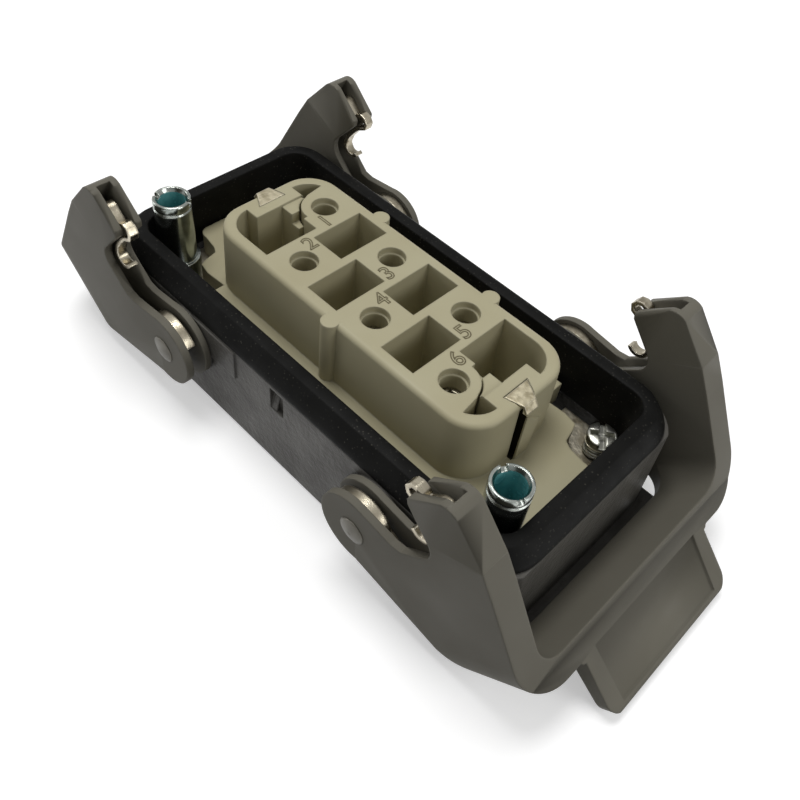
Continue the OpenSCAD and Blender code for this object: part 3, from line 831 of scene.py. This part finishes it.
# %% Latch springs
AXIS_X, AXIS_Z = 23.5, 13.3
STRIP_T = 0.7
SPRING_IN, SPRING_OUT = 24.74, 26.39
ROUND_DISC = arc(AXIS_X, AXIS_Z, 5.6, 150, 30, 14)
ALONG_ARM = [(30, 15.3), (39.5, 14), (42, 16), (42.2, 20)]
OVER_NOSE = arc(37, 33.2, 1.4, -20, 150, 10)
TO_NOTCH = [(34.2, 32.4), (33.4, 33.1), (32.4, 33.5), (31.6, 33.3), (31, 32.4), (31.3, 31.4),
            (33, 30.5), (34.3, 29.1), (35.7, 27.2)]
CUP = arc(34.6, 25.4, 1.7, 35, -150, 12)
SPRING_PATH = ROUND_DISC + ALONG_ARM + OVER_NOSE + TO_NOTCH + CUP


def ribbon(path, thickness):
    """The outline of a strip of even thickness along a path."""
    left, right = [], []
    for i, (x, z) in enumerate(path):
        ahead = path[min(i + 1, len(path) - 1)]
        behind = path[max(i - 1, 0)]
        run = Vector((ahead[0] - behind[0], ahead[1] - behind[1])).normalized() * thickness / 2
        left.append((x - run.y, z + run.x))
        right.append((x + run.y, z - run.x))
    return left + right[::-1]


STRIP = ribbon(SPRING_PATH, STRIP_T)
for end, turn in (("near", same), ("far", mirrored)):
    for side, sign in (("left", -1), ("right", 1)):
        name = "spring_" + end + "_" + side
        spring = side_prism(STRIP, sign * SPRING_IN, sign * SPRING_OUT, name + "_shaped")
        stand_in(turn(spring), SPRING, end + "_lever", name)
print("spring strip:", len(SPRING_PATH), "points along its path")

# %% [markdown]
# ### Levers
# The lever solids are nearly right. Only the hook's top corner is rounder on the real lever,
# and its finger tab a little longer and narrower. So a copy of the solid is taken, the tab's
# points are moved out along the tab, which slopes at 45 degrees, and the corner is trimmed off.

# %% Tab of a lever copy
TAB_FROM, TAB_END_FROM, TAB_LONGER = 35.5, 42.4, 0.5
TAB_ROOT, TAB_HALF, TAB_NARROWER = 12, 16.4, 0.4
WELD = 0.001


def lengthen_tab(lever, sign):
    shift = TAB_LONGER * MM / math.sqrt(2)
    for vertex in lever.data.vertices:
        out = (sign * vertex.co.x - vertex.co.z) / MM / math.sqrt(2)
        reach = abs(vertex.co.y) / MM
        if out > TAB_FROM and TAB_ROOT < reach < TAB_HALF:
            vertex.co.y -= math.copysign(TAB_NARROWER * MM, vertex.co.y)
        if out > TAB_END_FROM and reach < TAB_HALF:
            vertex.co.x += sign * shift
            vertex.co.z -= shift


def weld(mesh):
    shape = bmesh.new()
    shape.from_mesh(mesh)
    bmesh.ops.remove_doubles(shape, verts=shape.verts, dist=WELD * MM)
    shape.to_mesh(mesh)
    shape.free()


# %% Levers
HOOK_TRIM = [(32.4, 32.95)] + arc(38.67, 34.97, 2.6, 128, 45, 8)
HOOK_TRIM += [(45.6, 31.15), (49, 41), (30, 41)]
HOOK_REACH = 30

for end, turn, sign in (("near", same, 1), ("far", mirrored, -1)):
    source = frame["nodes"]["lever_" + end]
    lever = bpy.data.objects.new("lever_" + end + "_shaped", source.data.copy())
    lever.matrix_world = source.matrix_world.copy()
    bpy.context.scene.collection.objects.link(lever)
    lengthen_tab(lever, sign)
    weld(lever.data)
    carve(lever, [turn(side_prism(HOOK_TRIM, -HOOK_REACH, HOOK_REACH))])
    stand_in(lever, LEVER, end + "_lever", "lever_" + end)

# %% [markdown]
# ## Marks and threads
# Each contact has its number beside it, moulded as a thin outline. Drawing it on as an image
# would blur close up. A text object gives the outline itself: with no fill and a hair of bevel,
# only the edge of each digit is drawn.

# %% Contact numbers
NUMBER_SIZE = 4.2
NUMBER_LINE = 0.11
NUMBER_TURN = math.radians(90)
NUMBERS = {
    "1": (-18.12, 3.40), "2": (-15.30, -2.47), "3": (-1.83, 2.60),
    "4": (2.00, -2.35), "5": (15.35, 2.53), "6": (18.52, -2.36),
}


def number_outline(digit, x, y):
    text = bpy.data.curves.new("contact_number_" + digit, "FONT")
    text.body = digit
    text.align_x = "CENTER"
    text.align_y = "CENTER"
    text.size = NUMBER_SIZE * MM
    text.fill_mode = "NONE"
    text.bevel_depth = NUMBER_LINE * MM
    text.bevel_resolution = 1
    piece = bpy.data.objects.new(text.name, text)
    bpy.context.scene.collection.objects.link(piece)
    piece.location = (x * MM, y * MM, BLOCK_TOP * MM)
    piece.rotation_euler.z = NUMBER_TURN
    # The outline's darker beige is painted shade along the relief.
    set_material(piece, RELIEF_SHADE)
    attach(piece, "base")
    return piece


numbers = [number_outline(digit, x, y) for digit, (x, y) in NUMBERS.items()]
print("numbers:", " ".join(n.data.body for n in numbers))

# %% [markdown]
# The fixing screws stand proud, so their threads show. Cutting a thread takes a costly boolean.
# A round ridge wound up each plain shank looks the same here: it is a curve with a bevel.

# %% Screw threads
THREAD_R = 2.12
THREAD_PITCH = 0.7
THREAD_FROM, THREAD_TO = 11.3, 13.9
THREAD_ROUND = 0.24
THREAD_STEPS = 28


def thread(x, y):
    turns = (THREAD_TO - THREAD_FROM) / THREAD_PITCH
    curve = bpy.data.curves.new("fixing_screw_thread", "CURVE")
    curve.dimensions = "3D"
    curve.bevel_depth = THREAD_ROUND * MM
    curve.bevel_resolution = 1
    line = curve.splines.new("POLY")
    line.points.add(int(turns * THREAD_STEPS))
    for i, point in enumerate(line.points):
        angle = 2 * math.pi * i / THREAD_STEPS
        along = x * MM + THREAD_R * MM * math.cos(angle)
        across = y * MM + THREAD_R * MM * math.sin(angle)
        point.co = (along, across, (THREAD_FROM + THREAD_PITCH * i / THREAD_STEPS) * MM, 1)
    piece = bpy.data.objects.new(curve.name, curve)
    bpy.context.scene.collection.objects.link(piece)
    set_material(piece, STEEL)
    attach(piece, "base")
    return piece


threads = [thread(x, FIX_Y) for x in (FIX_X, -FIX_X)]
print("threads on", len(threads), "screws")

# %% [markdown]
# ## Floor and light
# The floor is white to the camera and in reflections: a pale paint and a little glow add up to
# white in the light and leave a soft shadow. The glow grows away from the connector, so no
# horizon shows. To other rays the floor is a mid grey, so that it doesn't light the connector
# from below.

# %% Floor
FLOOR_WHITE = (0.80, 0.80, 0.80, 1.0)
FLOOR_GREY = (0.30, 0.30, 0.30, 1.0)
FLOOR_GLOW = 0.42
GLOW_FROM, GLOW_TO = 0.12, 0.5
FLOOR_HALF = 3.0
FLOOR_DROP = 0.4

mesh = bpy.data.meshes.new("floor")
square = [(-1, -1), (1, -1), (1, 1), (-1, 1)]
mesh.from_pydata([(FLOOR_HALF * x, FLOOR_HALF * y, 0) for x, y in square], [], [(0, 1, 2, 3)])
floor = bpy.data.objects.new("floor", mesh)
bpy.context.scene.collection.objects.link(floor)
floor.location.z = cad_low.z - FLOOR_DROP * MM
floor_paint = bpy.data.materials.new("floor paint")
floor_paint.use_nodes = True
floor.data.materials.append(floor_paint)
print("floor at, mm:", round(floor.location.z / MM, 2))

# %% Floor paint
n = NodeTree(floor_paint.node_tree)
rays = n.add("ShaderNodeLightPath").outputs
seen = n.math("MAXIMUM", rays["Is Camera Ray"], rays["Is Glossy Ray"])
seen = n.math("MAXIMUM", seen, rays["Is Transmission Ray"])
paint = n.add("ShaderNodeBsdfDiffuse", None, Color=n.mix(seen, FLOOR_GREY, FLOOR_WHITE))
away = n.add("ShaderNodeVectorMath", {"operation": "LENGTH"})
n.put(away.inputs[0], n.add("ShaderNodeTexCoord").outputs["Object"])
lift = n.spread(away.outputs["Value"], GLOW_FROM, GLOW_TO, FLOOR_GLOW, 1.0)
glow = n.add("ShaderNodeEmission", None, Strength=n.math("MULTIPLY", seen, lift))
both = n.add("ShaderNodeAddShader")
n.put(both.inputs[0], paint.outputs[0])
n.put(both.inputs[1], glow.outputs[0])
n.put(n.add("ShaderNodeOutputMaterial").inputs["Surface"], both.outputs[0])
print("floor paint:", len(floor_paint.node_tree.nodes), "nodes")

# %% [markdown]
# ### Sky
# The sky is white where it is looked at, less so in reflections, and only a soft fill for all
# the rest. An image of a studio would do too, but plain levels are easier to read and to set.

# %% Sky
AMBIENT = 0.27
SKY_IN_METAL = 0.6
WHITE = (1.0, 1.0, 1.0, 1.0)

scene = bpy.context.scene
scene.view_settings.view_transform = "Standard"
world = bpy.data.worlds.new("studio")
world.use_nodes = True
scene.world = world
n = NodeTree(world.node_tree)
rays = n.add("ShaderNodeLightPath").outputs
level = n.spread(rays["Is Glossy Ray"], 0.0, 1.0, AMBIENT, SKY_IN_METAL)
looked_at = n.math("MAXIMUM", rays["Is Camera Ray"], rays["Is Transmission Ray"])
level = n.math("MAXIMUM", level, looked_at)
back = n.add("ShaderNodeBackground", None, Color=WHITE, Strength=level)
n.put(n.add("ShaderNodeOutputWorld").inputs["Surface"], back.outputs[0])
print("sky level:", AMBIENT)

# %% [markdown]
# ### Lamps
# One large lamp overhead does most of the work. Two small ones lift the near end and the long
# side, so that upright faces don't all fall to the same grey. Each has its place and size in
# metres and its power in watts.

# %% Lamps
AIM = Vector((0, 0, 0.015))
LAMPS = {
    "key": ((-0.14, 0.02, 0.62), 0.30, 2.15),
    "end fill": ((0.28, 0.05, 0.17), 0.15, 0.24),
    "side fill": ((-0.26, -0.15, 0.12), 0.12, 0.11),
}

for name, (place, size, power) in LAMPS.items():
    light = bpy.data.lights.new(name, "AREA")
    light.shape = "DISK"
    light.size = size
    light.energy = power
    lamp = bpy.data.objects.new(name, light)
    scene.collection.objects.link(lamp)
    lamp.location = place
    lamp.rotation_euler = (AIM - lamp.location).to_track_quat("-Z", "Y").to_euler()
print("lamps:", ", ".join(LAMPS))

# %% [markdown]
# ## Camera
# A wide lens close to the connector: its near end looms, and its lines run together towards the
# far end. The place is in millimetres, the turn in degrees.

# %% Camera
CAMERA_AT = (66.934, -74.818, 123.846)
CAMERA_TURN = (41.107, -5.7633, 44.6086)
SENSOR, LENS = 36.0, 38.28
SHIFT_X, SHIFT_Y = -0.0163, -0.0428
CLIP_START = 0.005

camera = bpy.data.objects.new("camera", bpy.data.cameras.new("camera"))
scene.collection.objects.link(camera)
scene.camera = camera
camera.location = Vector(CAMERA_AT) * MM
camera.rotation_euler = [math.radians(a) for a in CAMERA_TURN]
camera.data.sensor_width = SENSOR
camera.data.lens = LENS
camera.data.shift_x = SHIFT_X
camera.data.shift_y = SHIFT_Y
camera.data.clip_start = CLIP_START
print("camera is, mm away:", round(camera.location.length / MM))
